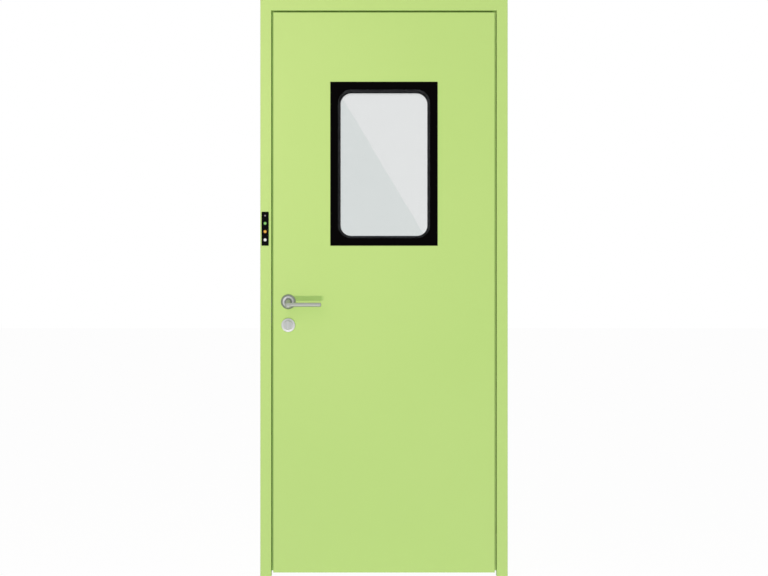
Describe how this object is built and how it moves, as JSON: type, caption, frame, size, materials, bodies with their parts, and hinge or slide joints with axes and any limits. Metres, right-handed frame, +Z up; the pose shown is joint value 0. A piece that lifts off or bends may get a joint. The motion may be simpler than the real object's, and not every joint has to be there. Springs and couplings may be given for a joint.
{
  "type": "steel utility door",
  "caption": "Flush steel door in a tubular steel frame, painted pale green, with a black-bordered window, lever handle, thumbturn and a strip of indicator lamps",
  "frame": {"origin": "middle of the hinge jamb's foot, on the floor", "axes": "+X to the right seen from the front, +Y away from the viewer, the way the leaf opens, +Z up"},
  "size_m": [0.9, 0.173, 2.1],
  "materials": {
    "green_paint": "satin powder coat",
    "stainless": "satin brushed",
    "zinc_steel": "zinc plated",
    "black_plastic": "fine satin",
    "black_seal": "matt",
    "spacer_black": "matt anodised look",
    "grey_gasket": "matt",
    "clear_glass": "polished float glass",
    "core_board": "honeycomb board",
    "green_lamp": "lit lens",
    "amber_lamp": "lit lens",
    "white_lamp": "lit lens",
    "sensor_tint": "smoked lens"
  },
  "bodies": {
    "frame": {"hinge_jamb": "green_paint", "lock_jamb": "green_paint", "frame_head": "green_paint", "hinge_foot_plate": "zinc_steel", "lock_foot_plate": "zinc_steel", "hinge_side_gasket": "grey_gasket", "lock_side_gasket": "grey_gasket", "head_gasket": "grey_gasket", "strike_plate": "stainless", "strike_dust_box": "zinc_steel", "indicator_housing": "black_plastic", "green_lens": "green_lamp", "amber_lens": "amber_lamp", "white_lens": "white_lamp", "sensor_lens": "sensor_tint", "lower_hinge_jamb_half": "stainless", "lower_hinge_pin": "stainless", "middle_hinge_jamb_half": "stainless", "middle_hinge_pin": "stainless", "upper_hinge_jamb_half": "stainless", "upper_hinge_pin": "stainless"},
    "leaf": {"front_skin": "green_paint", "rear_skin": "green_paint", "lock_side_lip": "zinc_steel", "hinge_side_lip": "zinc_steel", "top_lip": "zinc_steel", "bottom_rail": "zinc_steel", "core_below": "core_board", "core_lock_side": "core_board", "core_hinge_side": "core_board", "core_above": "core_board", "front_pane": "clear_glass", "rear_pane": "clear_glass", "front_seal": "black_seal", "rear_seal": "black_seal", "window_spacer": "spacer_black", "lock_case": "zinc_steel", "lock_faceplate": "stainless", "latch_bolt": "stainless", "front_lever_rose": "stainless", "rear_lever_rose": "stainless", "turn_rose": "stainless", "cylinder_rose": "stainless", "key_cylinder": "stainless", "lower_hinge_leaf_half": "stainless", "middle_hinge_leaf_half": "stainless", "upper_hinge_leaf_half": "stainless"},
    "handle": {"spindle": "zinc_steel", "front_lever": "stainless", "rear_lever": "stainless"},
    "turn": {"thumbturn": "stainless"},
    "bolt": {"deadbolt": "stainless"}
  },
  "joints": [
    {"name": "leaf_swing", "type": "hinge", "parent": "frame", "child": "leaf", "pos_m": [-0.0095, 0.034, 1.05], "axis": [0, 0, -1], "range_deg": [0, 110]},
    {"name": "handle_turn", "type": "hinge", "parent": "leaf", "child": "handle", "pos_m": [-0.778, 0, 1], "axis": [0, 1, 0], "range_deg": [0, 45], "stiffness_Nm_per_rad": 1.5, "springref_deg": -20.05},
    {"name": "thumb_turn", "type": "hinge", "parent": "leaf", "child": "turn", "pos_m": [-0.778, -0.025, 0.915], "axis": [0, -1, 0], "range_deg": [0, 90]},
    {"name": "deadbolt_throw", "type": "slide", "parent": "leaf", "child": "bolt", "axis": [-1, 0, 0], "range_m": [0, 0.02]}
  ],
  "couplings": [
    {"joint": "deadbolt_throw", "follows": "thumb_turn", "m_per_rad": 0.01273}
  ]
}
